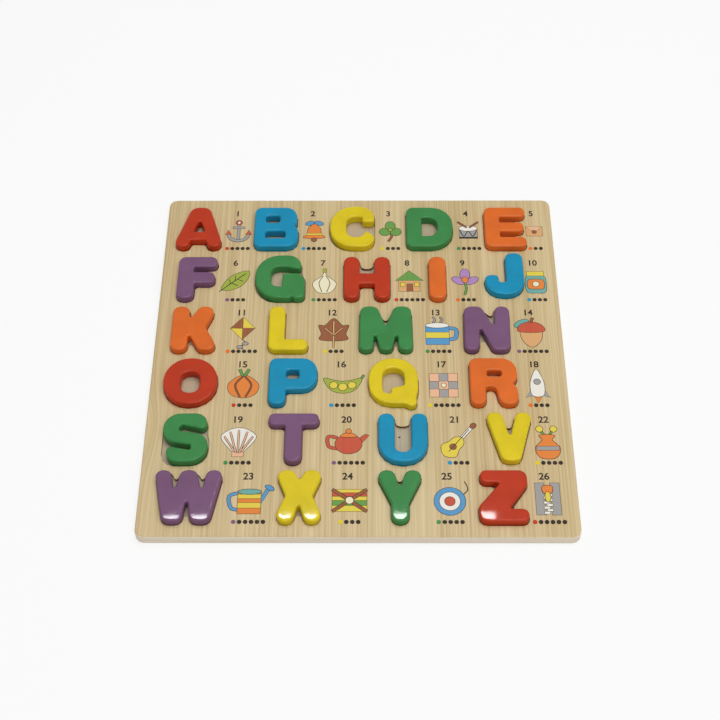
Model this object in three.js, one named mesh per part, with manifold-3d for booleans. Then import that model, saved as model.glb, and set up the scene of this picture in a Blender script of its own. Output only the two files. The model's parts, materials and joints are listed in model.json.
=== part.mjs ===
// Wooden alphabet puzzle: a square tray with twenty-six painted letters that lift out of their pockets.
// The tray is a pierced face board glued on a backing board, and each letter stands on the backing.
// Millimetres, +Z up, +X along a row of letters, +Y to the back edge.
// The origin is the middle of the tray's underside.

import * as THREE from 'three';
import { mergeVertices } from 'three/addons/utils/BufferGeometryUtils.js';
import Module from 'manifold-3d';

const wasm = await Module();
wasm.setup();

// Tray
const TRAY_WIDTH = 300;
const TRAY_DEPTH = 300;
const BACKING_THICKNESS = 6.6;
const FACE_THICKNESS = 2.4;
const TRAY_CORNER = 6;
const TRAY_EDGE_ROUND = 1.2;

// Letters
const LETTER_THICKNESS = 8.2;
const LETTER_EDGE_ROUND = 1.7;

// Pockets
const POCKET_CLEARANCE = 0.6;
const POCKET_FILLET = 2.2;
const GRIP_DEPTH = 8.5;

// Rows of letters
const FRONT_MARGIN = 9.3;
const BACK_MARGIN = 12.8;
const ROW_GAP = 7.58;

// Facets
const ARC_SAG = 0.34;
const LEAST_FLAT = 1.6;
const EDGE_STEPS = 2;
const CUT_OVERRUN = 1;

const WOOD = { color: 0xc8b286, roughness: 0.45, metalness: 0 };
const BACKING_WOOD = { color: 0xc7bba5, roughness: 0.55, metalness: 0 };
const RED = { color: 0xb83424, roughness: 0.35, metalness: 0 };
const BLUE = { color: 0x1c8cb9, roughness: 0.35, metalness: 0 };
const YELLOW = { color: 0xdac62b, roughness: 0.35, metalness: 0 };
const GREEN = { color: 0x3a8a48, roughness: 0.35, metalness: 0 };
const ORANGE = { color: 0xd6682a, roughness: 0.35, metalness: 0 };
const PURPLE = { color: 0x7a567a, roughness: 0.35, metalness: 0 };

// Each row runs from a left to a right margin, given as shares of the tray's width, with equal gaps between
// its letters. The shift, in cap heights, is how far the row lies from its place in an even spread of rows.
const ROWS = [
  { letters: 'ABCDE', left: 0.027, right: 0.07, shift: 0.013 },
  { letters: 'FGHIJ', left: 0.043, right: 0.085, shift: -0.045 },
  { letters: 'KLMN', left: 0.041, right: 0.128, shift: -0.045 },
  { letters: 'OPQR', left: 0.034, right: 0.121, shift: -0.033 },
  { letters: 'STUV', left: 0.045, right: 0.095, shift: -0.033 },
  { letters: 'WXYZ', left: 0.038, right: 0.116, shift: 0 },
];
const CAP_HEIGHT = (TRAY_DEPTH - FRONT_MARGIN - BACK_MARGIN + ROW_GAP) / ROWS.length - ROW_GAP;

// Proportions of the letters
const STEM = 0.3 * CAP_HEIGHT;
const ARM = 0.25 * CAP_HEIGHT;
const END = 0.135 * CAP_HEIGHT;
const CROTCH = 0.0225 * CAP_HEIGHT;

const GRIP = { depth: GRIP_DEPTH, round: GRIP_DEPTH };

// Four corners of an upright box, for counters.
function box(x0, y0, x1, y1, round) {
  return [[x0, y0, round], [x1, y0, round], [x1, y1, round], [x0, y1, round]];
}

// Letter shapes. A corner is [x, y, radius], anticlockwise from the lower left of the letter's own box,
// with w the letter's width, h the cap height, s the width of a stem and a the height of an arm.
// A notch is the gap at the top of a letter: full depth in the letter, a shallow grip in its pocket.
const LETTERS = {
  A: {
    width: 0.9 * CAP_HEIGHT,
    paint: RED,
    outline: (w, h, s) => [
      [-0.035 * h, 0, END], [s - 0.025 * h, 0, END], [s, 0.16 * h, CROTCH], [w - s, 0.16 * h, CROTCH],
      [w - s + 0.025 * h, 0, END], [w + 0.035 * h, 0, END], [w / 2 + 0.175 * h, h, 0.175 * h],
      [w / 2 - 0.175 * h, h, 0.175 * h],
    ],
    counters: (w, h) => [[
      [w / 2 - 0.11 * h, 0.38 * h, 0.025 * h], [w / 2 + 0.11 * h, 0.38 * h, 0.025 * h],
      [w / 2, 0.68 * h, 0.025 * h],
    ]],
  },
  B: {
    width: 0.85 * CAP_HEIGHT,
    paint: BLUE,
    outline: (w, h) => [
      [0, 0, END], [w, 0, 0.225 * h], [w, 0.46 * h, 0.175 * h], [w - 0.075 * h, 0.53 * h, CROTCH],
      [w - 0.03 * h, 0.6 * h, 0.125 * h], [w - 0.03 * h, h, 0.225 * h], [0, h, END],
    ],
    counters: (w, h, s, a) => [
      box(s - 0.075 * h, a - 0.025 * h, w - 0.25 * h, 0.39 * h, 0.05 * h),
      box(s - 0.075 * h, 0.61 * h, w - 0.362 * h, 1.025 * h - a, 0.05 * h),
    ],
  },
  C: {
    width: 0.863 * CAP_HEIGHT,
    paint: YELLOW,
    outline: (w, h, s, a) => [
      [0, 0, 0.475 * h], [w, 0, 0.375 * h], [w, a + 0.025 * h, 0.062 * h],
      [w - 0.163 * h, a + 0.163 * h, 0.062 * h], [w - 0.25 * h, a, 0.125 * h],
      [s + 0.025 * h, a, 0.15 * h], [s + 0.025 * h, h - a, 0.15 * h], [w - 0.237 * h, h - a, 0.125 * h],
      [w - 0.237 * h, 0.875 * h - a, 0.062 * h], [w, 0.875 * h - a, 0.08 * h], [w, 1.025 * h, 0.35 * h],
      [0, 1.025 * h, 0.475 * h],
    ],
    pocket: (w, h) => [
      [0, 0, 0.4 * h], [w, 0, 0.225 * h], [w, 1.025 * h, 0.225 * h], [0, 1.025 * h, 0.4 * h],
    ],
  },
  D: {
    width: 0.9 * CAP_HEIGHT,
    paint: GREEN,
    outline: (w, h) => [[0, 0, END], [w, 0, 0.425 * h], [w, h, 0.425 * h], [0, h, END]],
    counters: (w, h, s, a) => [[
      [s, a + 0.025 * h, 0.04 * h], [w - s, a + 0.025 * h, 0.175 * h],
      [w - s, 0.975 * h - a, 0.175 * h], [s, 0.975 * h - a, 0.04 * h],
    ]],
  },
  E: {
    width: 0.8 * CAP_HEIGHT,
    paint: ORANGE,
    outline: (w, h, s, a, notch = { depth: w - s, round: CROTCH }) => [
      [0, 0, END], [w, 0, END], [w, a, END], [w - notch.depth, a, CROTCH],
      [w - notch.depth, 0.383 * h, CROTCH], [w - 0.037 * h, 0.383 * h, 0.1 * h],
      [w - 0.037 * h, 0.618 * h, 0.1 * h], [w - notch.depth, 0.618 * h, CROTCH],
      [w - notch.depth, h - a, CROTCH], [w, h - a, END], [w, h, END], [0, h, END],
    ],
  },
  F: {
    width: 0.738 * CAP_HEIGHT,
    paint: PURPLE,
    outline: (w, h, s, a, notch = { depth: w - s, round: CROTCH }) => [
      [0, 0, END], [s + 0.025 * h, 0, END], [s + 0.025 * h, 0.36 * h, CROTCH],
      [w - 0.037 * h, 0.36 * h, 0.1 * h], [w - 0.037 * h, 0.63 * h, 0.1 * h],
      [w - notch.depth, 0.63 * h, CROTCH], [w - notch.depth, h - a, CROTCH], [w, h - a, 0.1 * h],
      [w, h, END], [0, h, END],
    ],
  },
  G: {
    width: 0.938 * CAP_HEIGHT,
    paint: GREEN,
    outline: (w, h, s, a) => [
      [0, 0, 0.475 * h], [w - 0.287 * h, 0, 0.125 * h], [w - 0.237 * h, 0.045 * h, CROTCH],
      [w - 0.188 * h, 0, 0.05 * h], [w, 0, 0.1 * h], [w, 0.46 * h, 0.225 * h],
      [w - 0.1 * h, 0.6 * h, 0.1 * h], [s + 0.212 * h, 0.6 * h, 0.062 * h],
      [s + 0.212 * h, a + 0.037 * h, CROTCH], [s, a + 0.037 * h, 0.125 * h], [s, h - a, 0.15 * h],
      [s + 0.3 * h, h - a, 0.075 * h], [w - 0.075 * h, 0.938 * h - a, 0.062 * h],
      [w - 0.075 * h, 1.038 * h, 0.375 * h], [0, 1.038 * h, 0.475 * h],
    ],
    pocket: (w, h) => [
      [0, 0, 0.4 * h], [w, 0, 0.1 * h], [w, 0.5 * h, 0.15 * h], [w - 0.075 * h, 0.65 * h, 0.15 * h],
      [w - 0.075 * h, 1.038 * h, 0.225 * h], [0, 1.038 * h, 0.4 * h],
    ],
  },
  H: {
    width: 0.875 * CAP_HEIGHT,
    paint: RED,
    outline: (w, h, s, a, notch = { depth: 0.4 * h, round: CROTCH }) => [
      [0, 0, END], [s, 0, END], [s, 0.34 * h, CROTCH], [w - s, 0.34 * h, CROTCH],
      [w - s, 0, END], [w, 0, END], [w, h, END], [w - s, h, END],
      [w - s, h - notch.depth, notch.round], [s, h - notch.depth, notch.round], [s, h, END], [0, h, END],
    ],
  },
  I: {
    width: 0.325 * CAP_HEIGHT,
    paint: ORANGE,
    outline: (w, h) => box(0, 0, w, h, 0.138 * h),
  },
  J: {
    width: 0.738 * CAP_HEIGHT,
    paint: BLUE,
    lift: 0.087 * CAP_HEIGHT,
    outline: (w, h, s, a) => [
      [0, 0, 0.325 * h], [w, 0, 0.325 * h], [w, h, END], [w - s - 0.037 * h, h, END],
      [w - s - 0.037 * h, a + 0.05 * h, 0.075 * h], [a + 0.013 * h, a + 0.05 * h, 0.075 * h],
      [a + 0.013 * h, 0.47 * h, 0.113 * h], [0, 0.47 * h, 0.113 * h],
    ],
  },
  K: {
    width: 0.85 * CAP_HEIGHT,
    paint: ORANGE,
    outline: (w, h, s) => [
      [0, 0, END], [s, 0, END], [s + 0.02 * h, 0.37 * h, CROTCH], [w - 0.325 * h, 0, END],
      [w + 0.05 * h, 0, END], [w - 0.225 * h, 0.52 * h, CROTCH], [w - 0.037 * h, h, END],
      [w - 0.35 * h, h, END], [s + 0.02 * h, 0.71 * h, CROTCH], [s, h, END], [0, h, END],
    ],
  },
  L: {
    width: 0.725 * CAP_HEIGHT,
    paint: YELLOW,
    outline: (w, h, s, a) => [
      [0, 0, END], [w, 0, END], [w, a, END], [s, a, CROTCH], [s, h, END], [0, h, END],
    ],
  },
  M: {
    width: 0.988 * CAP_HEIGHT,
    paint: GREEN,
    grip: { depth: 0.37 * CAP_HEIGHT, round: CROTCH },
    outline: (w, h, s, a, notch = { depth: 0.47 * h, round: CROTCH }) => [
      [0, 0, END], [s - 0.037 * h, 0, END], [s - 0.017 * h, 0.46 * h, CROTCH],
      [s + 0.087 * h, 0, 0.1 * h], [w - s - 0.087 * h, 0, 0.1 * h],
      [w - s + 0.017 * h, 0.46 * h, CROTCH], [w - s + 0.037 * h, 0, END], [w, 0, END],
      [w - 0.02 * h, h, END], [w - s - 0.037 * h, h, END], [w / 2, h - notch.depth, notch.round],
      [s + 0.037 * h, h, END], [0.02 * h, h, END],
    ],
  },
  N: {
    width: 0.863 * CAP_HEIGHT,
    paint: PURPLE,
    outline: (w, h, s, a, notch = { depth: 0.48 * h, round: CROTCH }) => [
      [0, 0, END], [s - 0.025 * h, 0, END], [s, 0.54 * h, CROTCH], [w - s - 0.037 * h, 0, 0.1 * h],
      [w - 0.02 * h, 0, END], [w, h, END], [w - s + 0.025 * h, h, END],
      [w - s, h - notch.depth, notch.round], [s + 0.037 * h, h, END], [0.02 * h, h, END],
    ],
  },
  O: {
    width: 0.963 * CAP_HEIGHT,
    paint: RED,
    outline: (w, h) => box(0, 0, w, h, 0.475 * h),
    counters: (w, h, s, a) => [box(s + 0.013 * h, a, w - s - 0.013 * h, 0.943 * h - a, 0.165 * h)],
  },
  P: {
    width: 0.863 * CAP_HEIGHT,
    paint: BLUE,
    outline: (w, h, s) => [
      [0, 0, END], [s + 0.013 * h, 0, END], [s + 0.013 * h, 0.31 * h, CROTCH], [w, 0.31 * h, 0.275 * h],
      [w, h, 0.275 * h], [0, h, END],
    ],
    counters: (w, h, s, a) => [box(s + 0.013 * h, 0.555 * h, w - 0.325 * h, 0.98 * h - a, 0.05 * h)],
  },
  Q: {
    width: 0.887 * CAP_HEIGHT,
    paint: YELLOW,
    outline: (w, h) => [
      [0, 0.013 * h, 0.425 * h], [w - 0.237 * h, 0.013 * h, 0.1 * h],
      [w - 0.163 * h, -0.037 * h, 0.062 * h], [w - 0.025 * h, -0.037 * h, 0.087 * h],
      [w - 0.037 * h, 0.15 * h, CROTCH], [w, 0.325 * h, 0.2 * h], [w, h, 0.425 * h], [0, h, 0.425 * h],
    ],
    counters: (w, h, s, a) => [[
      [s - 0.05 * h, a - 0.015 * h, 0.125 * h], [s + 0.1 * h, a - 0.015 * h, CROTCH],
      [s + 0.1 * h, a + 0.1 * h, 0.062 * h], [w - a, a + 0.16 * h, CROTCH],
      [w - a, 1.025 * h - a, 0.175 * h], [s - 0.05 * h, 1.025 * h - a, 0.175 * h],
    ]],
  },
  R: {
    width: 0.85 * CAP_HEIGHT,
    paint: ORANGE,
    outline: (w, h, s) => [
      [0, 0, END], [s - 0.025 * h, 0, END], [s - 0.013 * h, 0.37 * h, CROTCH],
      [s + 0.15 * h, 0.37 * h, 0.087 * h], [w - 0.312 * h, 0, END], [w, 0, END], [w, 0.36 * h, 0.2 * h],
      [w - 0.087 * h, 0.46 * h, CROTCH], [w, 0.54 * h, 0.15 * h], [w, h, 0.275 * h], [0, h, END],
    ],
    counters: (w, h, s, a) => [box(s + 0.013 * h, 0.6 * h, w - s + 0.02 * h, 0.975 * h - a, 0.04 * h)],
  },
  S: {
    width: 0.8 * CAP_HEIGHT,
    paint: GREEN,
    outline: (w, h, s) => [
      [0.087 * h, 0, 0.2 * h], [w, 0, 0.325 * h], [w, 0.56 * h, 0.25 * h],
      [s - 0.013 * h, 0.64 * h, CROTCH], [s - 0.013 * h, 0.77 * h, 0.062 * h],
      [w - 0.037 * h, 0.65 * h, 0.1 * h], [w - 0.037 * h, h, 0.225 * h], [0, h, 0.3 * h],
      [0, 0.42 * h, 0.275 * h], [w - s, 0.35 * h, CROTCH], [w - s, 0.25 * h, CROTCH],
      [0.087 * h, 0.33 * h, 0.087 * h],
    ],
    pocket: (w, h) => [
      [0, 0, 0.225 * h], [w, 0, 0.3 * h], [w, 0.5 * h, 0.2 * h], [w - 0.037 * h, 0.62 * h, 0.2 * h],
      [w - 0.037 * h, h, 0.21 * h], [0, h, 0.28 * h],
    ],
  },
  T: {
    width: 0.887 * CAP_HEIGHT,
    paint: PURPLE,
    outline: (w, h, s, a) => [
      [(w - s) / 2, 0, END], [(w + s) / 2, 0, END], [(w + s) / 2, h - a, CROTCH], [w, h - a, END],
      [w, h, END], [0, h, END], [0, h - a, END], [(w - s) / 2, h - a, CROTCH],
    ],
  },
  U: {
    width: 0.863 * CAP_HEIGHT,
    paint: BLUE,
    outline: (w, h, s, a, notch = { depth: 1.038 * h - a, round: 0.15 * h }) => [
      [0, 0, 0.4 * h], [w, 0, 0.4 * h], [w, h, END], [w - s + 0.013 * h, h, END],
      [w - s + 0.013 * h, h - notch.depth, notch.round], [s - 0.013 * h, h - notch.depth, notch.round],
      [s - 0.013 * h, h, END], [0, h, END],
    ],
  },
  V: {
    width: 0.787 * CAP_HEIGHT,
    paint: YELLOW,
    lift: 0.025 * CAP_HEIGHT,
    grip: { depth: 0.47 * CAP_HEIGHT, round: CROTCH },
    outline: (w, h, s, a, notch = { depth: 0.53 * h, round: CROTCH }) => [
      [w / 2 - 0.155 * h, 0, END], [w / 2 + 0.155 * h, 0, END], [w + 0.033 * h, h, END],
      [w - s + 0.037 * h, h, END], [w / 2, h - notch.depth, notch.round], [s - 0.037 * h, h, END],
      [-0.033 * h, h, END],
    ],
  },
  W: {
    width: 1.145 * CAP_HEIGHT,
    paint: PURPLE,
    outline: (w, h, s, a, notch = { depth: 0.43 * h, round: CROTCH }) => [
      [0.175 * h, 0, END], [s + 0.2 * h, 0, END], [w / 2, 0.5 * h, CROTCH], [w - s - 0.2 * h, 0, END],
      [w - 0.175 * h, 0, END], [w + 0.022 * h, h, END], [w - s + 0.037 * h, h, END],
      [w - s - 0.037 * h, h - notch.depth, notch.round], [w / 2 + 0.133 * h, h, END],
      [w / 2 - 0.133 * h, h, END], [s + 0.037 * h, h - notch.depth, notch.round],
      [s - 0.037 * h, h, END], [-0.022 * h, h, END],
    ],
  },
  X: {
    width: 0.775 * CAP_HEIGHT,
    paint: YELLOW,
    outline: (w, h, s) => [
      [-0.045 * h, 0, END], [s - 0.025 * h, 0, END], [w / 2, 0.35 * h, CROTCH],
      [w - s + 0.025 * h, 0, END], [w + 0.045 * h, 0, END], [w - 0.155 * h, 0.5 * h, CROTCH],
      [w + 0.045 * h, h, END], [w - s + 0.025 * h, h, END], [w / 2, 0.8 * h, CROTCH],
      [s - 0.025 * h, h, END], [-0.045 * h, h, END], [0.155 * h, 0.5 * h, CROTCH],
    ],
  },
  Y: {
    width: 0.787 * CAP_HEIGHT,
    paint: GREEN,
    outline: (w, h, s) => [
      [(w - s) / 2, 0, END], [(w + s) / 2, 0, END], [(w + s) / 2, 0.36 * h, 0.075 * h],
      [w + 0.05 * h, h, END], [w - s + 0.013 * h, h, END], [w / 2, 0.645 * h, CROTCH],
      [s - 0.013 * h, h, END], [-0.05 * h, h, END], [(w - s) / 2, 0.36 * h, 0.075 * h],
    ],
  },
  Z: {
    width: 0.838 * CAP_HEIGHT,
    paint: RED,
    outline: (w, h, s, a) => [
      [0, 0, END], [w, 0, END], [w, a, END], [w - s - 0.025 * h, a, CROTCH],
      [w, 0.963 * h - a, 0.075 * h], [w, h, END], [0.037 * h, h, END], [0.037 * h, h - a, END],
      [s + 0.075 * h, h - a, CROTCH], [0, a + 0.05 * h, 0.075 * h],
    ],
  },
};

// Each edge of an outline as its direction and its length.
function edgesOf(corners) {
  return corners.map(([x, y], k) => {
    const [nextX, nextY] = corners[(k + 1) % corners.length];
    const direction = new THREE.Vector2(nextX - x, nextY - y);
    const length = direction.length();
    return { direction: direction.divideScalar(length), length };
  });
}

// An outline with every corner rounded by an arc that is tangent to both of its edges.
// Where two arcs would meet on an edge, the larger one shrinks to leave room for the other.
function rounded(corners) {
  const edges = edgesOf(corners);
  const bends = corners.map(([, , radius], k) => {
    const turn = edges.at(k - 1).direction.angleTo(edges[k].direction);
    return { turn, reach: radius * Math.tan(turn / 2) };
  });
  const room = (edge, other) => Math.max(edge.length / 2, edge.length - other.reach) - LEAST_FLAT / 2;
  return corners.flatMap(([x, y], k) => {
    const { turn, reach } = bends[k];
    const before = room(edges.at(k - 1), bends.at(k - 1));
    const after = room(edges[k], bends[(k + 1) % bends.length]);
    const length = Math.min(reach, before, after);
    const radius = length / Math.tan(turn / 2);
    const into = edges.at(k - 1).direction;
    const side = Math.sign(into.cross(edges[k].direction));
    const start = new THREE.Vector2(x, y).addScaledVector(into, -length);
    const centre = start.clone().addScaledVector(new THREE.Vector2(-into.y, into.x), side * radius);
    const steps = Math.max(1, Math.ceil(turn / Math.sqrt(8 * ARC_SAG / radius)));
    return Array.from({ length: steps + 1 }, (_, step) => (
      start.clone().rotateAround(centre, side * turn * step / steps)
    ));
  });
}

// The corners of an outline moved outwards by a distance, with a least radius at its inside corners.
function grown(corners, distance, insideRadius) {
  const edges = edgesOf(corners);
  return corners.map(([x, y, radius], k) => {
    const into = edges.at(k - 1).direction;
    const out = edges[k].direction;
    const spread = distance / (1 + into.dot(out));
    const inside = into.cross(out) < 0;
    return [
      x + spread * (into.y + out.y),
      y - spread * (into.x + out.x),
      inside ? Math.max(radius - distance, insideRadius) : radius + distance,
    ];
  });
}

// A flat piece of one thickness, standing on Z = 0, with both of its edges rounded over.
function roundedSlab(shape, thickness, edgeRound) {
  const geometry = new THREE.ExtrudeGeometry(shape, {
    depth: thickness - 2 * edgeRound,
    bevelThickness: edgeRound,
    bevelSize: edgeRound,
    bevelOffset: -edgeRound,
    bevelSegments: EDGE_STEPS,
  });
  return geometry.translate(0, 0, edgeRound);
}

function toSolid(geometry) {
  geometry.deleteAttribute('normal');
  geometry.deleteAttribute('uv');
  const merged = mergeVertices(geometry);
  return new wasm.Manifold(new wasm.Mesh({
    numProp: 3,
    vertProperties: new Float32Array(merged.attributes.position.array),
    triVerts: new Uint32Array(merged.index.array),
  }));
}

function toGeometry(solid) {
  const { vertProperties, triVerts } = solid.getMesh();
  const geometry = new THREE.BufferGeometry();
  geometry.setAttribute('position', new THREE.BufferAttribute(vertProperties, 3));
  geometry.setIndex(new THREE.BufferAttribute(triVerts, 1));
  geometry.computeVertexNormals();
  return geometry;
}

function named(name, geometry, finish) {
  const mesh = new THREE.Mesh(geometry, new THREE.MeshStandardMaterial(finish));
  mesh.name = name;
  return mesh;
}

// Where each letter stands: the lower left of its box, seen from above.
function placeLetters() {
  return ROWS.flatMap(({ letters, left, right, shift }, row) => {
    const names = [...letters];
    const inked = names.reduce((sum, name) => sum + LETTERS[name].width, 0);
    const gap = (TRAY_WIDTH * (1 - left - right) - inked) / (names.length - 1);
    const top = TRAY_DEPTH / 2 - BACK_MARGIN - row * (CAP_HEIGHT + ROW_GAP);
    let x = TRAY_WIDTH * (left - 0.5);
    return names.map((name) => {
      const { width, lift = 0 } = LETTERS[name];
      const place = { name, x, y: top + (shift - 1) * CAP_HEIGHT + lift };
      x += width + gap;
      return place;
    });
  });
}

function letterGeometry({ width, outline, counters }) {
  const sizes = [width, CAP_HEIGHT, STEM, ARM];
  const shape = new THREE.Shape(rounded(outline(...sizes)));
  for (const counter of counters?.(...sizes) ?? []) {
    shape.holes.push(new THREE.Path(rounded(counter)));
  }
  return roundedSlab(shape, LETTER_THICKNESS, LETTER_EDGE_ROUND);
}

function pocketCutter({ width, outline, pocket = outline, grip = GRIP }) {
  const corners = pocket(width, CAP_HEIGHT, STEM, ARM, grip);
  const shape = new THREE.Shape(rounded(grown(corners, POCKET_CLEARANCE, POCKET_FILLET)));
  return new THREE.ExtrudeGeometry(shape, {
    depth: FACE_THICKNESS + 2 * CUT_OVERRUN,
    bevelEnabled: false,
  });
}

// The two boards of the tray are one rounded block parted at the glue line.
function trayBoards(places) {
  const thickness = BACKING_THICKNESS + FACE_THICKNESS;
  const halfWidth = TRAY_WIDTH / 2;
  const halfDepth = TRAY_DEPTH / 2;
  const outline = box(-halfWidth, -halfDepth, halfWidth, halfDepth, TRAY_CORNER);
  const block = toSolid(roundedSlab(new THREE.Shape(rounded(outline)), thickness, TRAY_EDGE_ROUND));
  const above = new THREE.BoxGeometry(TRAY_WIDTH + CUT_OVERRUN, TRAY_DEPTH + CUT_OVERRUN, thickness);
  const upper = toSolid(above.translate(0, 0, BACKING_THICKNESS + thickness / 2));
  let face = block.intersect(upper);
  for (const { name, x, y } of places) {
    const cutter = pocketCutter(LETTERS[name]).translate(x, y, BACKING_THICKNESS - CUT_OVERRUN);
    face = face.subtract(toSolid(cutter));
  }
  return { backing: toGeometry(block.subtract(upper)), face: toGeometry(face) };
}

const puzzle = new THREE.Group();
const places = placeLetters();
const boards = trayBoards(places);
puzzle.add(named('backing_board', boards.backing, BACKING_WOOD));
puzzle.add(named('face_board', boards.face, WOOD));
for (const { name, x, y } of places) {
  const letter = named(`letter_${name}`, letterGeometry(LETTERS[name]), LETTERS[name].paint);
  letter.position.set(x, y, BACKING_THICKNESS);
  puzzle.add(letter);
}

export default puzzle;
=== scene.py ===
import json
import math

import bmesh
import bpy
from mathutils import Matrix, Vector


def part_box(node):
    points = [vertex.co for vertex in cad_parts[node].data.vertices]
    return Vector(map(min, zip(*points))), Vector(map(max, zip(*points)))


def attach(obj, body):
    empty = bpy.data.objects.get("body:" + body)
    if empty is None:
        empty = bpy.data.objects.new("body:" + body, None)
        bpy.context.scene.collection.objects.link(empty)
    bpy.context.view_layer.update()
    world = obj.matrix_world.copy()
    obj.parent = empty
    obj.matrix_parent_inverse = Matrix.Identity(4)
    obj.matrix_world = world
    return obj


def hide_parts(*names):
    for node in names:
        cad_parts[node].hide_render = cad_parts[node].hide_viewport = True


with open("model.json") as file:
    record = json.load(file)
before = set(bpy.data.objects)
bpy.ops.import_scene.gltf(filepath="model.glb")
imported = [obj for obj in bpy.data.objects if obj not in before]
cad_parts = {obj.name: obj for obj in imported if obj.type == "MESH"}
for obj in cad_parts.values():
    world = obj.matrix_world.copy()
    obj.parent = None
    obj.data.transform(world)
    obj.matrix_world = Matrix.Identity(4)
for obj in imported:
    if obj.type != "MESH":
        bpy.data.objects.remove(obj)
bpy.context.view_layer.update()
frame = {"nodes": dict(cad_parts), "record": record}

SLOTS = {part["node"]: part["material_slot"] for part in frame["record"]["subparts"]}
MM = 0.001

# A length below this counts as none, and places in metres are compared to this many digits
TINY = 1e-6
PLACE_DIGITS = 6

# The tray, from the frame, and the band along its edge that holds no pocket
FACE_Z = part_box("face_board")[1].z
TRAY_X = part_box("face_board")[1].x
TRAY_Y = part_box("face_board")[1].y
POCKET_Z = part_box("backing_board")[1].z
RIM_BAND = 4 * MM
RIM_BLEND = 0.1 * MM

# Camera, as the photograph was taken, with the sensor's width in mm
IMAGE_PX = 720
FOCAL_PX = 1383.947
SENSOR = 36
CAMERA_ELEVATION = math.radians(54.81)
CAMERA_AZIMUTH = math.radians(0.635)
CAMERA_ROLL = math.radians(-0.521)
CAMERA_DISTANCE = 1006.929 * MM
CAMERA_TARGET = Vector((1.006 * MM, -5.084 * MM, FACE_Z))

# Studio: the level of its light, the surround's share of it, and the floor's reach in metres and tone
LIGHT_LEVEL = 0.805
WORLD_SHARE = 0.42
WHITE = (1, 1, 1, 1)
FLOOR_REACH = 6
FLOOR_COLOUR = (0.85, 0.85, 0.85, 1)
FLOOR_WHITE = 0.8

# Lamps: place and aim in metres, width and depth in metres, watts
LAMPS = {
    "overhead": ((0.3, -0.15, 1.6), (0, 0, 0), (1.3, 1.3), 19),
    "front": ((0.4, -1.3, 0.9), (0, 0, 0), (0.9, 0.9), 3.5),
    "glare": ((-0.059, 0.532, 1.24), (-0.05, -0.14, 0), (0.555, 0.012), 2.3),
}

# Colours, as sRGB values from 0 to 255
PAINTS = {
    "paint_red": (190, 53, 16),
    "paint_blue": (7, 144, 185),
    "paint_yellow": (226, 202, 23),
    "paint_green": (58, 136, 71),
    "paint_orange": (226, 108, 34),
    "paint_purple": (122, 84, 119),
}
WOOD_PALE = (215, 194, 151)
WOOD_MID = (203, 180, 135)
WOOD_DARK = (187, 163, 115)
POCKET_DARK = (178, 160, 132)
POCKET_PALE = (192, 176, 148)
# The pockets' walls: partly the cut wood's own brown, partly painted shade in the recesses
POCKET_WALL_AND_SHADE = (112, 84, 52)
# The rim's ply tones: the plies' own pale wood, painted paler still as painted light on the tray's sides
EDGE_PALE_WITH_PAINTED_LIGHT = (240, 228, 208)
EDGE_DARK_WITH_PAINTED_LIGHT = (222, 206, 178)
INKS = {
    "dark": (26, 16, 12),
    "white": (236, 232, 222),
    "grey": (158, 156, 154),
    "red": (196, 82, 58),
    "orange": (226, 130, 56),
    "yellow": (226, 204, 74),
    "green": (98, 152, 70),
    "olive": (158, 172, 66),
    "teal": (104, 168, 160),
    "blue": (84, 150, 198),
    "lilac": (172, 134, 186),
    "brown": (146, 86, 54),
    "tan": (218, 166, 112),
    "cream": (238, 230, 196),
    "peach": (232, 182, 146),
    **{slot.replace("paint_", "dot_"): colour for slot, colour in PAINTS.items()},
}

# Tones along a pattern that runs from 0 to 1, and how dark paint is where it pools
FACE_TONES = ((0.36, WOOD_DARK), (0.5, WOOD_MID), (0.62, WOOD_PALE))
EDGE_TONES_WITH_PAINTED_LIGHT = ((0.35, EDGE_DARK_WITH_PAINTED_LIGHT), (0.65, EDGE_PALE_WITH_PAINTED_LIGHT))
PAINT_DEEP = 0.86

# Patterns: features per metre along x, y and z
STREAK_RATE = (760, 6, 300)
BAND_RATE = (85, 2.2, 40)
PLY_RATE = (9, 9, 1100)
PAINT_GRAIN_RATE = (420, 26, 300)
PAINT_PATCH_RATE = (60, 60, 60)

# The share of fine streaks in the grain, and the height that the grain is raised by
STREAK_SHARE = 0.7
WOOD_BUMP = 0.2 * MM
PAINT_BUMP = 0.15 * MM

# The stretch of a pattern over which roughness or colour changes
GRAIN_RANGE = (0.3, 0.7)
POCKET_RANGE = (0.35, 0.65)
INK_RANGE = (0.4, 0.65)
PATCH_RANGE = (0.3, 0.7)

# Roughness at the two ends of the grain
FACE_ROUGHNESS = (0.42, 0.3)
POCKET_ROUGHNESS = (0.7, 0.5)
PAINT_ROUGHNESS = (0.3, 0.42)

# A knot at the left edge: its place, how far it reaches and how far it bows the grain
KNOT_PLACE = (-152 * MM, -64 * MM)
KNOT_REACH = (12 * MM, 26 * MM)
KNOT_BOW = 11 * MM

# How far the normals of level and of upright faces rise
LEVEL_RISE = 0.8
UPRIGHT_RISE = 0.5

# Letters: the rounding of their edges, and the edges of an outline that become curves
ROUND_STEPS = 4
ROUND_SHARE = 0.95
LEAN_DIGITS = 4
SMOOTH_EDGE = 9 * MM
SMOOTH_STEPS = 4

# The rows of letters, with the scale of the pictures beside them
ROWS = {"ABCDE": 1.0, "FGHIJ": 1.14, "KLMN": 1.28, "OPQR": 1.26, "STUV": 1.3, "WXYZ": 1.3}

# Ink: the thickness of a layer, the share of wood in its worn parts, and the size of numbers
INK_LAYER = 0.012 * MM
INK_WEAR = 0.07
NUMBER_SIZE = 7.4 * MM
NUMBER_BOLD = 0.185 * MM

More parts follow.
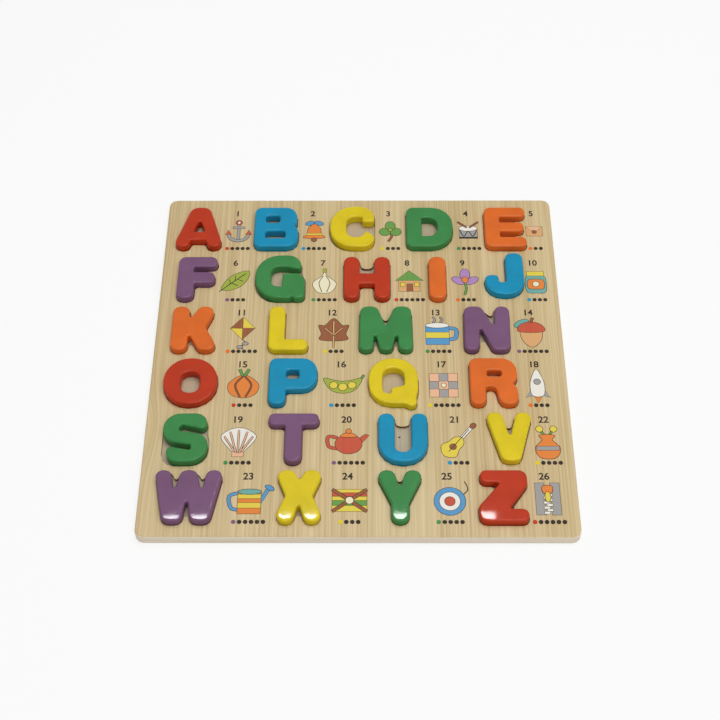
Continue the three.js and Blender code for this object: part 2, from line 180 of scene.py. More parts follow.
# Prints, in plain mm: heights above the foot of a row, sizes, gaps and a speck's place in its pocket
PICTURE_UP = 19.6
NUMBER_UP = 37.6
NUMBER_ASIDE = 1.5
DOTS_UP = 2.4
DOT_SIZE = 3.1
DOT_PITCH = 4
INK_LINE = 0.4
PRINT_RIM = 7
PRINT_GAP = 1
PIN_ASIDE = -2.4
PIN_UP = 4.6
PIN_SIZE = (0.8, 0.7)

# Counts: the dots in a row, and the steps of an outline
DOTS_LEAST = 4
DOTS_SPREAD = 3
OVAL_STEPS = 28
CURVE_STEPS = 5


def linear(colour):
    """An sRGB colour as the linear RGBA that a shader socket takes."""
    def channel(value):
        value /= 255
        return value / 12.92 if value <= 0.04045 else ((value + 0.055) / 1.055) ** 2.4
    return (*(channel(value) for value in colour), 1)


class Nodes:
    """Short calls for the nodes of a material or a world."""

    # A Mix node has sockets for numbers, vectors and colours under the same names: these are for colours
    MIX_FACTOR, MIX_FIRST, MIX_SECOND, MIX_RESULT = 0, 6, 7, 2

    def __init__(self, tree):
        self.tree = tree

    def node(self, kind, inputs=(), **settings):
        """A new node, with a value or a link for each input that is named."""
        made = self.tree.nodes.new(kind)
        for key, value in settings.items():
            setattr(made, key, value)
        for key, value in dict(inputs).items():
            self.feed(made.inputs[key], value)
        return made

    def feed(self, socket, value):
        if isinstance(value, bpy.types.NodeSocket):
            self.tree.links.new(value, socket)
        else:
            socket.default_value = value

    def place(self):
        return self.node("ShaderNodeTexCoord").outputs["Object"]

    def axes(self, vector):
        return self.node("ShaderNodeSeparateXYZ", {"Vector": vector}).outputs

    def noise(self, rate, detail=4, roughness=0.55, distortion=0, place=None):
        """Noise from 0 to 1, with its own number of features per metre along each axis."""
        mapping = self.node("ShaderNodeMapping", {"Vector": place or self.place(), "Scale": rate})
        return self.node(
            "ShaderNodeTexNoise",
            {"Vector": mapping.outputs["Vector"], "Scale": 1, "Detail": detail, "Roughness": roughness,
             "Distortion": distortion},
        ).outputs["Fac"]

    def ramp(self, fac, tones):
        """The colour at a value from 0 to 1, between tones that are given in sRGB."""
        made = self.node("ShaderNodeValToRGB", {"Fac": fac})
        elements = made.color_ramp.elements
        while len(elements) < len(tones):
            elements.new(0.5)
        for element, (position, colour) in zip(elements, tones):
            element.position = position
            element.color = linear(colour)
        return made.outputs["Color"]

    def mix(self, fac, first, second):
        values = {self.MIX_FACTOR: fac, self.MIX_FIRST: first, self.MIX_SECOND: second}
        return self.node("ShaderNodeMix", data_type="RGBA", inputs=values).outputs[self.MIX_RESULT]

    def math(self, operation, *values):
        made = self.node("ShaderNodeMath", operation=operation)
        for socket, value in zip(made.inputs, values):
            self.feed(socket, value)
        return made.outputs[0]

    def span(self, value, low, high, to_low=0.0, to_high=1.0):
        """A value between low and high, moved to lie between two other ends."""
        return self.node(
            "ShaderNodeMapRange",
            {"Value": value, "From Min": low, "From Max": high, "To Min": to_low, "To Max": to_high},
        ).outputs["Result"]

    def seen(self):
        """1 to the camera, straight, mirrored or through glass, and 0 to light on its way."""
        rays = self.node("ShaderNodeLightPath").outputs
        mirrored = self.math("MAXIMUM", rays["Is Glossy Ray"], rays["Is Transmission Ray"])
        return self.math("MAXIMUM", rays["Is Camera Ray"], mirrored)


class Shader(Nodes):
    """A material with a Principled surface."""

    def __init__(self, name):
        self.material = bpy.data.materials.new(name)
        self.material.use_nodes = True
        super().__init__(self.material.node_tree)
        self.surface = self.tree.nodes["Principled BSDF"]

    def bump(self, height, strength, distance):
        inputs = {"Height": height, "Strength": strength, "Distance": distance}
        made = self.node("ShaderNodeBump", inputs)
        self.feed(self.surface.inputs["Normal"], made.outputs["Normal"])

    def set(self, **inputs):
        for key, value in inputs.items():
            self.feed(self.surface.inputs[key.replace("_", " ")], value)


def bowed_place(shader):
    """Places on the boards, shifted so that the grain bows round a knot at the left edge."""
    axes = shader.axes(shader.place())
    squares = []
    for axis, centre, reach in zip("XY", KNOT_PLACE, KNOT_REACH):
        away = shader.math("DIVIDE", shader.math("SUBTRACT", axes[axis], centre), reach)
        squares.append(shader.math("MULTIPLY", away, away))
    near = shader.math("POWER", math.e, shader.math("MULTIPLY", shader.math("ADD", *squares), -1))
    bowed = shader.math("SUBTRACT", axes["X"], shader.math("MULTIPLY", near, KNOT_BOW))
    inputs = {"X": bowed, "Y": axes["Y"], "Z": axes["Z"]}
    return shader.node("ShaderNodeCombineXYZ", inputs).outputs["Vector"]


def wood_grain(shader):
    """Fine streaks and broad bands that run from front to back, from 0 to 1."""
    place = bowed_place(shader)
    streaks = shader.noise(STREAK_RATE, detail=5, roughness=0.62, place=place)
    bands = shader.noise(BAND_RATE, detail=3, roughness=0.5, distortion=0.6, place=place)
    return shader.math(
        "MULTIPLY_ADD", streaks, STREAK_SHARE, shader.math("MULTIPLY", bands, 1 - STREAK_SHARE),
    )


def side_mask(shader):
    """1 on upright faces, 0 on level ones."""
    normal = shader.node("ShaderNodeNewGeometry").outputs["Normal"]
    rise = shader.math("ABSOLUTE", shader.axes(normal)["Z"])
    return shader.span(rise, LEVEL_RISE, UPRIGHT_RISE)


def inner_mask(shader):
    """1 well inside the tray's outline, 0 at its rim."""
    axes = shader.axes(shader.place())
    beside, ahead = (
        shader.span(shader.math("ABSOLUTE", axes[axis]), half - RIM_BAND, half - RIM_BAND - RIM_BLEND)
        for axis, half in (("X", TRAY_X), ("Y", TRAY_Y))
    )
    return shader.math("MULTIPLY", beside, ahead)


def rim_plies(shader):
    """The colour of the tray's rim, where the plies show as thin level lines, painted paler than their
    own tone as painted light.
    """
    return shader.ramp(shader.noise(PLY_RATE, detail=3, roughness=0.6), EDGE_TONES_WITH_PAINTED_LIGHT)


def face_wood():
    """Lacquered wood on top, plies on the rim painted paler as painted light, and darker walls in the
    pockets: partly the cut wood's own brown, partly painted shade.
    """
    shader = Shader("face_wood")
    grain = wood_grain(shader)
    # Upright faces: the rim's plies outside, and in the pockets a dark brown that is partly the wood's
    # own and partly painted shade
    side = shader.mix(inner_mask(shader), rim_plies(shader), linear(POCKET_WALL_AND_SHADE))
    shader.set(
        Base_Color=shader.mix(side_mask(shader), shader.ramp(grain, FACE_TONES), side),
        Roughness=shader.span(grain, *GRAIN_RANGE, *FACE_ROUGHNESS),
        Specular_IOR_Level=0.15,
        Coat_Weight=0.12,
        Coat_Roughness=0.2,
    )
    shader.bump(grain, strength=0.12, distance=WOOD_BUMP)
    return shader.material


def backing_wood():
    """Bare wood, duller than the face, with plies on the rim that are painted paler as painted light."""
    shader = Shader("backing_wood")
    grain = wood_grain(shader)
    floor = shader.mix(shader.span(grain, *POCKET_RANGE), linear(POCKET_DARK), linear(POCKET_PALE))
    shader.set(
        Base_Color=shader.mix(side_mask(shader), floor, rim_plies(shader)),
        Roughness=shader.span(grain, *GRAIN_RANGE, *POCKET_ROUGHNESS),
    )
    shader.bump(grain, strength=0.2, distance=WOOD_BUMP)
    return shader.material


def paint(slot, colour):
    """Gloss paint on wood: thin pooling patches, and the grain faintly raised under it."""
    shader = Shader(slot)
    grain = shader.noise(PAINT_GRAIN_RATE, detail=4, roughness=0.6)
    patches = shader.noise(PAINT_PATCH_RATE, detail=2)
    base = linear(colour)
    deep = (*(value * PAINT_DEEP for value in base[:3]), 1)
    shader.set(
        Base_Color=shader.mix(shader.span(patches, *PATCH_RANGE), deep, base),
        Roughness=shader.span(grain, *GRAIN_RANGE, *PAINT_ROUGHNESS),
        Specular_IOR_Level=0.08,
        Coat_Weight=0.25,
        Coat_Roughness=0.03,
    )
    shader.bump(grain, strength=0.1, distance=PAINT_BUMP)
    return shader.material


def ink_material(name, colour):
    """Printing ink: matt, a little uneven, with the wood's streaks faintly through it."""
    shader = Shader(f"ink_{name}")
    grain = wood_grain(shader)
    base = linear(colour)
    worn = tuple(value + INK_WEAR * (wood - value) for value, wood in zip(base, linear(WOOD_MID)))
    shader.set(
        Base_Color=shader.mix(shader.span(grain, *INK_RANGE), base, worn),
        Roughness=0.55,
        Specular_IOR_Level=0.2,
    )
    return shader.material


def object_from(name, mesh, materials):
    made = bpy.data.objects.new(name, mesh)
    bpy.context.scene.collection.objects.link(made)
    for material in materials:
        mesh.materials.append(material)
    return made


def mesh_from(curve, place):
    """The mesh of a curve, moved to its place. The curve itself is deleted."""
    drawn = bpy.data.objects.new(curve.name, curve)
    mesh = bpy.data.meshes.new_from_object(drawn)
    bpy.data.objects.remove(drawn)
    bpy.data.curves.remove(curve)
    mesh.transform(Matrix.Translation(place))
    return mesh


def dress_tray():
    for node, material in (("face_board", face_wood()), ("backing_board", backing_wood())):
        board = frame["nodes"][node]
        board.data.materials.clear()
        board.data.materials.append(material)


def widest_loops(node):
    """The closed outlines of a letter's straight wall, and the height at which the wall ends."""
    mesh = frame["nodes"][node].data
    keys = [tuple(round(value, PLACE_DIGITS) for value in vertex.co) for vertex in mesh.vertices]
    widths = {}
    for x, _, z in keys:
        low, high = widths.get(z, (x, x))
        widths[z] = (min(low, x), max(high, x))
    widest = max(high - low for low, high in widths.values())
    level = max(z for z, (low, high) in widths.items() if widest - (high - low) < TINY)
    ahead = {}
    for polygon in mesh.polygons:
        corners = [keys[index] for index in polygon.vertices]
        below = any(corner[2] < level for corner in corners)
        for start, end in zip(corners, corners[1:] + corners[:1]):
            if start[2] == end[2] == level and start != end and below:
                ahead[start[:2]] = end[:2]
    loops = []
    while ahead:
        start, point = ahead.popitem()
        loop = [start]
        while point != start:
            loop.append(point)
            point = ahead.pop(point)
        loops.append([Vector(point) for point in loop])
    return loops, level


def smoothed(loop):
    """A faceted outline drawn as a smooth one: short edges become curves, long ones stay straight."""
    count = len(loop)
    edges = [loop[(k + 1) % count] - loop[k] for k in range(count)]
    tangents = [(edges[k - 1] + edges[k]).normalized() for k in range(count)]
    points = []
    for k, start in enumerate(loop):
        length = edges[k].length
        end = loop[(k + 1) % count]
        steps = SMOOTH_STEPS if length < SMOOTH_EDGE else 1
        for step in range(steps):
            t = step / steps
            points.append(
                start * (1 - 3 * t ** 2 + 2 * t ** 3)
                + tangents[k] * (length * (t - 2 * t ** 2 + t ** 3))
                + end * (3 * t ** 2 - 2 * t ** 3)
                + tangents[(k + 1) % count] * (length * (t ** 3 - t ** 2))
            )
    return points


def round_normals(mesh, wall_low, wall_high, edge):
    """Smooth shading of truly round edges between an upright wall and two level flats."""
    normals = []
    for vertex, average in zip(mesh.vertices, mesh.vertex_normals):
        above = max(vertex.co.z - wall_high, 0) - max(wall_low - vertex.co.z, 0)
        lean = min(max(round(above / edge, LEAN_DIGITS), -1), 1)
        across = average.vector.xy.normalized() * math.sqrt(1 - lean ** 2)
        normals.append((across.x, across.y, lean))
    for polygon in mesh.polygons:
        polygon.use_smooth = True
    mesh.normals_split_custom_set_from_vertices(normals)


def letter_curve(name, loops, half, edge):
    """A flat curve along a letter's outlines, with its thickness and its round edges."""
    curve = bpy.data.curves.new(name, "CURVE")
    curve.dimensions = "2D"
    curve.fill_mode = "BOTH"
    curve.extrude = half - edge
    curve.bevel_depth = edge
    curve.bevel_resolution = ROUND_STEPS
    curve.offset = -edge
    for loop in loops:
        points = smoothed(loop)
        spline = curve.splines.new("POLY")
        spline.points.add(len(points) - 1)
        spline.use_cyclic_u = True
        for place, point in zip(spline.points, points):
            place.co = (point.x, point.y, 0, 1)
    return curve


def letter_shell(letter, material):
    """A letter with smooth outlines and fully rounded edges, in the place of its CAD solid."""
    node = f"letter_{letter}"
    low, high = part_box(node)
    loops, level = widest_loops(node)
    edge = (high.z - level) * ROUND_SHARE
    curve = letter_curve(node, loops, (high.z - low.z) / 2, edge)
    mesh = mesh_from(curve, (0, 0, (low.z + high.z) / 2))
    joined = bmesh.new()
    joined.from_mesh(mesh)
    bmesh.ops.remove_doubles(joined, verts=joined.verts, dist=TINY)
    joined.to_mesh(mesh)
    joined.free()
    round_normals(mesh, low.z + edge, high.z - edge, edge)
    piece = object_from(f"painted_{letter}", mesh, [material])
    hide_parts(node)
    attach(piece, f"piece_{letter}")
    return piece


def dress_letters():
    paints = {slot: paint(slot, colour) for slot, colour in PAINTS.items()}
    for letter in "".join(ROWS):
        slot = SLOTS[f"letter_{letter}"]
        letter_shell(letter, paints[slot])


def oval(x, y, rx, ry, tilt=0):
    """A closed outline in mm: an ellipse, turned by an angle in degrees."""
    turn = math.radians(tilt)
    points = []
    for step in range(OVAL_STEPS):
        angle = 2 * math.pi * step / OVAL_STEPS
        u, v = rx * math.cos(angle), ry * math.sin(angle)
        points.append((
            x + u * math.cos(turn) - v * math.sin(turn),
            y + u * math.sin(turn) + v * math.cos(turn),
        ))
    return points


def curve_through(points, closed):
    """A smooth line through points, as short straight steps."""
    count = len(points)
    drawn = []
    for k in range(count if closed else count - 1):
        if closed:
            p, q, r, s = (Vector(points[(k + j) % count]) for j in (-1, 0, 1, 2))
        else:
            p, q, r, s = (Vector(points[min(max(k + j, 0), count - 1)]) for j in (-1, 0, 1, 2))
        for step in range(CURVE_STEPS):
            t = step / CURVE_STEPS
            drawn.append(tuple(0.5 * (
                2 * q
                + (r - p) * t
                + (2 * p - 5 * q + 4 * r - s) * t ** 2
                + (3 * q - p - 3 * r + s) * t ** 3
            )))
    if not closed:
        drawn.append(tuple(points[-1]))
    return drawn


def blob(*points):
    """A closed outline with no corners, through points."""
    return curve_through(points, closed=True)


def stroke(width, *points):
    """The closed outline of a line of one width through points."""
    line = [Vector(point) for point in curve_through(points, closed=False)]
    left, right = [], []
    for k, point in enumerate(line):
        along = (line[min(k + 1, len(line) - 1)] - line[max(k - 1, 0)]).normalized() * width / 2
        left.append((point.x - along.y, point.y + along.x))
        right.append((point.x + along.y, point.y - along.x))
    return right + left[::-1]


def bar(x0, y0, x1, y1):
    return [(x0, y0), (x1, y0), (x1, y1), (x0, y1)]


# One small picture beside each letter: inks and closed outlines in mm, drawn from the lowest layer up
PICTURES = {
    "A": [
        ("red", oval(0, 9, 2.4, 2.4)), ("white", oval(0, 9, 1.1, 1.1)),
        ("grey", bar(-1, -8, 1, 6.6)),
        ("grey", bar(-4.6, 3, 4.6, 4.8)),
        ("grey", stroke(2.2, (-8, -2), (-6, -7), (0, -9.4), (6, -7), (8, -2))),
        ("red", [(-10, -3), (-8, 1.4), (-5.6, -3)]), ("red", [(5.6, -3), (8, 1.4), (10, -3)]),
    ],
    "B": [
        ("blue", oval(-3.6, 8.4, 3.4, 1.9, 20)), ("blue", oval(3.6, 8.4, 3.4, 1.9, -20)),
        ("orange", blob(
            (-8.4, -6), (-5.4, -3), (-4.6, 3), (0, 7.6), (4.6, 3), (5.4, -3), (8.4, -6), (0, -7),
        )),
        ("yellow", bar(-6, -3.6, 6, -2)), ("brown", oval(0, -8.4, 2, 1.8)),
    ],
    "C": [
        ("brown", stroke(1.4, (0, 0), (1, -5), (-1.6, -10))), ("green", oval(-4.2, -0.4, 4.2, 3.8)),
        ("green", oval(4.2, -0.4, 4.2, 3.8)), ("green", oval(0, 5.6, 3.8, 4.4)),
        ("olive", oval(0, 1.6, 1.4, 1.4)),
    ],
    "D": [
        ("grey", bar(-7, -7, 7, 3)), ("white", oval(0, 3, 7, 2.6)), ("dark", bar(-7, -7, 7, -5.6)),
        ("dark", stroke(0.7, (-6.6, 1), (-3.4, -5), (0, 0.4), (3.4, -5), (6.6, 1))),
        ("brown", stroke(1, (-8, 9.6), (-1, 4))), ("brown", stroke(1, (8, 9.6), (1, 4))),
    ],
    "E": [
        ("tan", bar(-6.2, -4.6, 6.2, 4.6)), ("peach", [(-6.2, 4.6), (0, -1.2), (6.2, 4.6)]),
        ("brown", oval(0, -0.6, 1.5, 1.5)),
    ],
    "F": [
        ("olive", blob((-9.6, -6), (-6, 2), (0, 7), (8, 9), (7, 1.6), (2.6, -4), (-4, -7))),
        ("dark", stroke(0.6, (-11, -8.4), (-4, -1.8), (6, 7))),
        ("dark", stroke(0.5, (-4, -1.8), (-4.6, 2))),
        ("dark", stroke(0.5, (-1, 0.8), (-0.6, 5))), ("dark", stroke(0.5, (-3, -1), (1, -3.4))),
        ("dark", stroke(0.5, (0.6, 2.2), (4.6, 0.4))),
    ],
    "G": [
        ("cream", blob(
            (0, 10), (-1.4, 5), (-7.6, -1), (-5, -8), (0, -9.4), (5, -8), (7.6, -1), (1.4, 5),
        )),
        ("dark", stroke(0.5, (-0.8, 5), (-3.6, -1), (-1.6, -8.6))),
        ("dark", stroke(0.5, (0.8, 5), (3.6, -1), (1.6, -8.6))),
        ("olive", bar(-1.1, 8, 1.1, 11)),
    ],
    "H": [
        ("tan", bar(-7, -8, 7, 1.6)), ("green", [(-9.4, 1), (0, 9.4), (9.4, 1)]),
        ("brown", bar(-1.6, -8, 2.2, -1.8)),
        ("yellow", bar(-5.8, -4, -3, -0.8)), ("yellow", bar(3.6, -4, 6.2, -0.8)),
    ],
    "I": [
        ("green", stroke(1.2, (0, -1), (0.6, -6), (-0.6, -11))),
        ("lilac", oval(-4.6, 1, 4.6, 2.6, -30)),
        ("lilac", oval(4.6, 1, 4.6, 2.6, 30)), ("lilac", oval(0, 6, 3.2, 4.8)),
        ("orange", oval(0, 1.6, 2, 2.4)),
    ],
    "J": [
        ("teal", blob((-6, -8.6), (-6.8, 0), (-5, 5), (5, 5), (6.8, 0), (6, -8.6), (0, -9.4))),
        ("yellow", bar(-5.6, 5, 5.6, 8.6)),
        ("orange", blob((-5, -5.4), (-5, 1), (0, 2), (5, 1), (5, -5.4), (0, -6))),
        ("cream", oval(0, -2, 2, 2)),
    ],
    "K": [
        ("yellow", [(0, -5), (-7, 3), (0, 11), (7, 3)]), ("brown", [(0, -5), (0, 3), (7, 3)]),
        ("brown", [(0, 11), (-7, 3), (0, 3)]),
        ("dark", stroke(0.5, (0, -5), (2.6, -8), (-1.6, -10), (1, -12))),
        ("grey", oval(2, -8, 1.6, 1)), ("grey", oval(-1, -10.4, 1.6, 1)),
    ],
    "L": [
        ("brown", blob(
            (0, 10), (-5, 5), (-8.6, 5), (-7, -1), (-8, -5), (0, -6), (8, -5), (7, -1), (8.6, 5),
            (5, 5),
        )),
        ("tan", stroke(0.8, (0, 8), (0, -10.6))), ("tan", stroke(0.6, (0, -2), (-5, 3))),
        ("tan", stroke(0.6, (0, -2), (5, 3))),
    ],
    "M": [
        ("blue", stroke(2, (6, 3), (10.4, 2), (10, -4), (5.6, -5))),
        ("blue", bar(-7, -8.6, 6.4, 5)), ("yellow", bar(-7, -4, 6.4, 0)),
        ("white", oval(-0.3, 5, 6.7, 1.7)), ("grey", stroke(0.8, (-2.6, 7), (-1.6, 9), (-2.8, 11))),
        ("grey", stroke(0.8, (1.6, 7), (2.6, 9), (1.4, 11))),
    ],
    "N": [
        ("teal", oval(-5.4, 6.4, 4.6, 2.2, 30)),
        ("tan", blob((-6, 1), (-5, -6), (0, -10.4), (5, -6), (6, 1), (0, 2.4))),
        ("red", blob((-7.6, 1), (-6, 5.4), (0, 7.4), (6, 5.4), (7.6, 1), (0, 0))),
        ("brown", stroke(1.2, (0, 7), (1.4, 10.4))),
    ],
    "O": [
        ("orange", blob((0, 7), (-8.4, 1), (-7, -6), (0, -8.6), (7, -6), (8.4, 1))),
        ("green", stroke(1.3, (-0.4, 6), (-2.6, 11))),
        ("green", stroke(1.3, (0.4, 6), (2.8, 11))),
        ("brown", stroke(0.6, (-0.6, 6), (-4.6, 0), (-1.6, -8))),
        ("brown", stroke(0.6, (0.6, 6), (4.6, 0), (1.6, -8))),
    ],
    "P": [
        ("olive", blob(
            (-11, 4.6), (-7, -3), (0, -5.4), (7, -3), (11, 4.6), (5, 3.4), (0, 2.6), (-5, 3.4),
        )),
        ("yellow", oval(-5.2, 0, 2.2, 2.2)), ("yellow", oval(0, -1.2, 2.4, 2.4)),
        ("yellow", oval(5.2, 0, 2.2, 2.2)),
        ("green", stroke(1, (10.6, 4.6), (12, 7))),
    ],
    "Q": [
        ("grey", bar(-8, -8, 8, 8)), ("peach", bar(-8, -8, -2.7, -2.7)),
        ("peach", bar(2.7, -8, 8, -2.7)),
        ("peach", bar(-2.7, -2.7, 2.7, 2.7)), ("peach", bar(-8, 2.7, -2.7, 8)),
        ("peach", bar(2.7, 2.7, 8, 8)),
        ("cream", oval(0, 0, 1.3, 1.3)),
    ],
    "R": [
        ("orange", [(-2.4, -7), (0, -12), (2.4, -7)]), ("grey", [(-3, -2), (-7, -8.4), (-2, -6.6)]),
        ("grey", [(3, -2), (7, -8.4), (2, -6.6)]),
        ("white", blob((-3, -7), (-4, 0), (-2.6, 6), (0, 11), (2.6, 6), (4, 0), (3, -7))),
        ("grey", oval(0, 2.4, 1.8, 1.8)),
    ],
    "S": [
        ("white", blob(
            (0, -8), (-5, -4), (-9.4, 3), (-5, 7.4), (0, 8.6), (5, 7.4), (9.4, 3), (5, -4),
        )),
        ("peach", bar(-3, -9.4, 3, -6.6)),
        ("peach", stroke(0.7, (0, -7), (0, 7))), ("peach", stroke(0.7, (-1, -7), (-4.6, 6))),
        ("peach", stroke(0.7, (1, -7), (4.6, 6))),
        ("peach", stroke(0.7, (-2, -6), (-7.6, 3))), ("peach", stroke(0.7, (2, -6), (7.6, 3))),
    ],
    "T": [
        ("red", stroke(1.6, (-6, 2.4), (-11, 3), (-10.6, -3), (-6, -4.4))),
        ("red", [(5, -4), (11, 4), (9, 4.6), (5, 1.4)]),
        ("red", oval(0, -1.6, 7.2, 6)),
        ("orange", blob((-4.4, 3.4), (0, 5.8), (4.4, 3.4), (0, 2.8))),
        ("orange", oval(0, 6.6, 1.4, 1.4)),
    ],
    "U": [
        ("white", stroke(1.8, (1, 1), (8, 9.4))), ("brown", oval(8.6, 10, 1.8, 1.4, 45)),
        ("yellow", blob(
            (2.4, 2.4), (-1.6, 2.6), (-4.6, 0), (-8.8, -2.6), (-7.6, -8.6), (-1.6, -9.6), (0.6, -5),
            (3, -1.6),
        )),
        ("brown", oval(-2.6, -3.2, 1.7, 1.7)), ("dark", stroke(0.4, (-5, -6.2), (6.4, 7.8))),
    ],
    "V": [
        ("green", stroke(0.9, (-0.6, 3), (-3.6, 7.6))),
        ("green", stroke(0.9, (0.6, 3), (3.6, 7.6))), ("yellow", oval(-3.8, 8, 1.8, 1.8)),
        ("yellow", oval(3.8, 8, 1.8, 1.8)),
        ("orange", blob(
            (-4, 4), (-2.6, 1), (-6.6, -4), (-4, -10), (4, -10), (6.6, -4), (2.6, 1), (4, 4),
        )),
        ("grey", bar(-6, -5.4, 6, -3)),
    ],
    "W": [
        ("blue", stroke(1.6, (-5, 4), (-10.6, 2), (-9.4, -5), (-5, -6))),
        ("blue", [(5, -5), (10.6, 6), (9, 7), (5, -0.6)]),
        ("blue", oval(10.4, 7, 2.6, 1.2, -30)), ("orange", bar(-6, -8.4, 6, 4.6)),
        ("yellow", bar(-6, -5, 6, -2)), ("yellow", bar(-6, 0.6, 6, 3)),
        ("teal", oval(0, 4.6, 6, 1.5)),
    ],
    "X": [
        ("yellow", bar(-9, -7, 9, 6)), ("green", bar(-9, -3.4, 9, -0.6)), ("red", bar(-9, 2, 9, 4)),
        ("brown", stroke(1.6, (-9, -7), (9, 6))), ("brown", stroke(1.6, (-9, 6), (9, -7))),
        ("cream", oval(0, -0.5, 2, 2)),
    ],
    "Y": [
        ("dark", stroke(0.6, (6, 2), (9.6, 6), (8, 11))), ("blue", oval(0, -1, 8.2, 8.2)),
        ("white", oval(0, -1, 5.4, 5.4)),
        ("red", oval(0, -1, 2.6, 2.6)),
    ],
    "Z": [
        ("grey", bar(-6.4, -9, -1.6, 10)), ("grey", bar(1.6, -9, 6.4, 10)),
        *[("white", bar(-2.2, y, 0.6, y + 1.3)) for y in (-8.4, -5.4, -2.4, 0.6)],
        *[("white", bar(-0.6, y, 2.2, y + 1.3)) for y in (-6.9, -3.9, -0.9, 2.1)],
        ("orange", blob((-2.4, 8), (-2, 4), (2, 4), (2.4, 8))), ("yellow", oval(0, 1.6, 1.4, 3)),
    ],
}


def grown(points, distance):
    """A closed outline moved outwards, away from the side that it goes round."""
    count = len(points)
    moved = []
    for k, (x, y) in enumerate(points):
        before = (Vector(points[k]) - Vector(points[k - 1])).normalized()
        after = (Vector(points[(k + 1) % count]) - Vector(points[k])).normalized()
        out = Vector((before.y + after.y, -before.x - after.x))
        if out.length > TINY:
            out.normalize()
        moved.append((x + out.x * distance, y + out.y * distance))
    return moved


def round_about(points):
    """The same closed outline, anticlockwise."""
    area = sum(a[0] * b[1] - b[0] * a[1] for a, b in zip(points, points[1:] + points[:1]))
    return points if area > 0 else points[::-1]


class Print:
    """Flat layers of ink on a board, built up as one mesh of thin plates."""

    def __init__(self, level):
        self.level = level
        self.layer = 0
        self.vertices = []
        self.faces = []
        self.inks = []

    def plate(self, ink, points):
        """One layer of ink inside a closed outline, a little higher than the layer before."""
        self.layer += 1
        start, count = len(self.vertices), len(points)
        for z in (self.level, self.level + self.layer * INK_LAYER):
            self.vertices += [(x * MM, y * MM, z) for x, y in points]
        self.faces.append([start + k for k in reversed(range(count))])
        self.faces.append([start + count + k for k in range(count)])
        for k in range(count):
            m = (k + 1) % count
            self.faces.append([start + k, start + m, start + count + m, start + count + k])
        self.inks += [ink] * (count + 2)

    def shape(self, ink, points, x, y, scale):
        """A plate at a place and scale, with a dark line round it."""
        placed = round_about([(x + u * scale, y + v * scale) for u, v in points])
        if ink != "dark":
            self.plate("dark", grown(placed, INK_LINE))
        self.plate(ink, placed)

    def finish(self, name, inks):
        mesh = bpy.data.meshes.new(name)
        mesh.from_pydata(self.vertices, [], self.faces)
        used = sorted(set(self.inks))
        for polygon, ink in zip(mesh.polygons, self.inks):
            polygon.material_index = used.index(ink)
        piece = object_from(name, mesh, [inks[ink] for ink in used])
        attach(piece, "tray")


def add_dots(sheet, letter, x, y, width, wanted):
    """A row of counting dots, as many as the width has room for, the first in the letter's colour."""
    own = SLOTS[f"letter_{letter}"].replace("paint_", "dot_")
    room = int((width - DOT_SIZE - 2 * PRINT_GAP) / DOT_PITCH) + 1
    dots = min(wanted, room)
    for dot in range(dots):
        place = x + (dot - (dots - 1) / 2) * DOT_PITCH
        ink = own if dot == 0 else "dark"
        sheet.plate(ink, oval(place, y, DOT_SIZE / 2, DOT_SIZE / 2))


def number_print(number, x, y, material):
    """A plain number, printed on the tray's face."""
    name = f"number_{number}"
    curve = bpy.data.curves.new(name, "FONT")
    curve.body = str(number)
    curve.size = NUMBER_SIZE
    curve.align_x = "CENTER"
    curve.align_y = "CENTER"
    curve.offset = NUMBER_BOLD
    curve.extrude = INK_LAYER
    mesh = mesh_from(curve, (x * MM, y * MM, FACE_Z + INK_LAYER))
    piece = object_from(name, mesh, [material])
    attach(piece, "tray")


def pin_print(inks):
    """A dark speck on the floor of the U's pocket: a pin hole, with its shade painted as a flat dark
    dot.
    """
    low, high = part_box("letter_U")
    middle = (low + high) / 2 / MM
    pin = Print(POCKET_Z)
    pin.plate("dark", oval(middle.x + PIN_ASIDE, middle.y + PIN_UP, *PIN_SIZE))
    pin.finish("pin_hole_painted_shade", inks)


def print_face():
    """In each gap beside a letter: a number, a picture and a row of counting dots."""
    inks = {name: ink_material(name, colour) for name, colour in INKS.items()}
    count = 0
    for row, scale in ROWS.items():
        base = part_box(f"letter_{row[0]}")[0].y / MM
        for k, letter in enumerate(row):
            count += 1
            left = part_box(f"letter_{letter}")[1].x / MM
            right = TRAY_X / MM - PRINT_RIM
            if k + 1 < len(row):
                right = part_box(f"letter_{row[k + 1]}")[0].x / MM
            x = (left + right) / 2
            sheet = Print(FACE_Z)
            for ink, points in PICTURES[letter]:
                sheet.shape(ink, points, x, base + PICTURE_UP, scale)
            wanted = DOTS_LEAST + count % DOTS_SPREAD
            add_dots(sheet, letter, x, base + DOTS_UP, right - left, wanted)
            sheet.finish(f"picture_{letter}", inks)
            number_print(count, x - NUMBER_ASIDE, base + NUMBER_UP, inks["dark"])
    pin_print(inks)


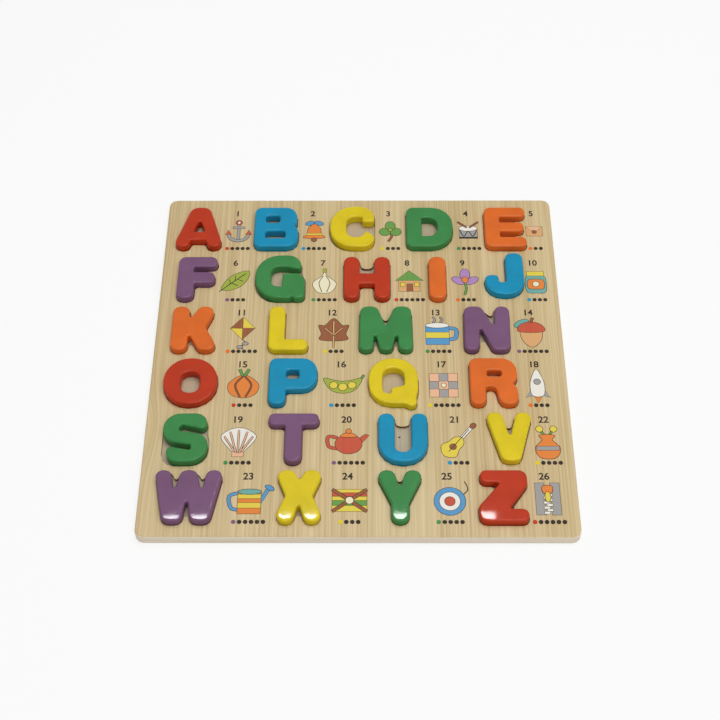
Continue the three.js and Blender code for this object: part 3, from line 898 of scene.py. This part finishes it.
def add_camera():
    """The camera, turned round the tray, tilted down at its target and rolled."""
    back = Vector((
        math.sin(CAMERA_AZIMUTH) * math.cos(CAMERA_ELEVATION),
        -math.cos(CAMERA_AZIMUTH) * math.cos(CAMERA_ELEVATION),
        math.sin(CAMERA_ELEVATION),
    ))
    right = (-back).cross(Vector((0, 0, 1))).normalized()
    up = right.cross(-back)
    turned_right = right * math.cos(CAMERA_ROLL) + up * math.sin(CAMERA_ROLL)
    turned_up = up * math.cos(CAMERA_ROLL) - right * math.sin(CAMERA_ROLL)
    data = bpy.data.cameras.new("camera")
    data.sensor_width = SENSOR
    data.lens = FOCAL_PX / IMAGE_PX * SENSOR
    camera = bpy.data.objects.new("camera", data)
    axes = Matrix((turned_right, turned_up, back)).transposed()
    camera.matrix_world = Matrix.Translation(CAMERA_TARGET + back * CAMERA_DISTANCE) @ axes.to_4x4()
    bpy.context.scene.collection.objects.link(camera)
    bpy.context.scene.camera = camera


def area_light(name, place, aim, size, watts):
    data = bpy.data.lights.new(name, "AREA")
    data.shape = "RECTANGLE"
    data.size, data.size_y = size
    data.energy = watts
    lamp = bpy.data.objects.new(name, data)
    lamp.location = place
    lamp.rotation_euler = (Vector(aim) - Vector(place)).to_track_quat("-Z", "Y").to_euler()
    bpy.context.scene.collection.objects.link(lamp)


def add_floor():
    """A plain white floor, bright to the camera, that takes only a faint shadow."""
    mesh = bpy.data.meshes.new("floor")
    corners = [(x * FLOOR_REACH, y * FLOOR_REACH, 0) for x, y in ((-1, -1), (1, -1), (1, 1), (-1, 1))]
    mesh.from_pydata(corners, [], [(0, 1, 2, 3)])
    shader = Shader("floor")
    shader.set(Base_Color=FLOOR_COLOUR, Roughness=0.9)
    white = shader.node("ShaderNodeEmission", {"Color": WHITE, "Strength": 1})
    mixed = shader.node("ShaderNodeMixShader", {
        "Fac": shader.math("MULTIPLY", shader.seen(), FLOOR_WHITE),
        1: shader.surface.outputs[0],
        2: white.outputs[0],
    })
    output = shader.tree.nodes["Material Output"]
    shader.feed(output.inputs["Surface"], mixed.outputs[0])
    object_from("floor", mesh, [shader.material])


def add_world():
    """An even white surround, plain white where it is seen and dimmer as a light."""
    world = bpy.data.worlds.new("studio")
    world.use_nodes = True
    nodes = Nodes(world.node_tree)
    background = nodes.tree.nodes["Background"]
    nodes.feed(background.inputs["Color"], WHITE)
    strength = nodes.span(nodes.seen(), 0, 1, WORLD_SHARE * LIGHT_LEVEL, 1)
    nodes.feed(background.inputs["Strength"], strength)
    bpy.context.scene.world = world


def add_studio():
    add_world()
    for name, (place, aim, size, watts) in LAMPS.items():
        area_light(name, place, aim, size, watts * LIGHT_LEVEL)
    add_floor()


bpy.context.scene.view_settings.view_transform = "Standard"
add_camera()
add_studio()
dress_tray()
dress_letters()
print_face()
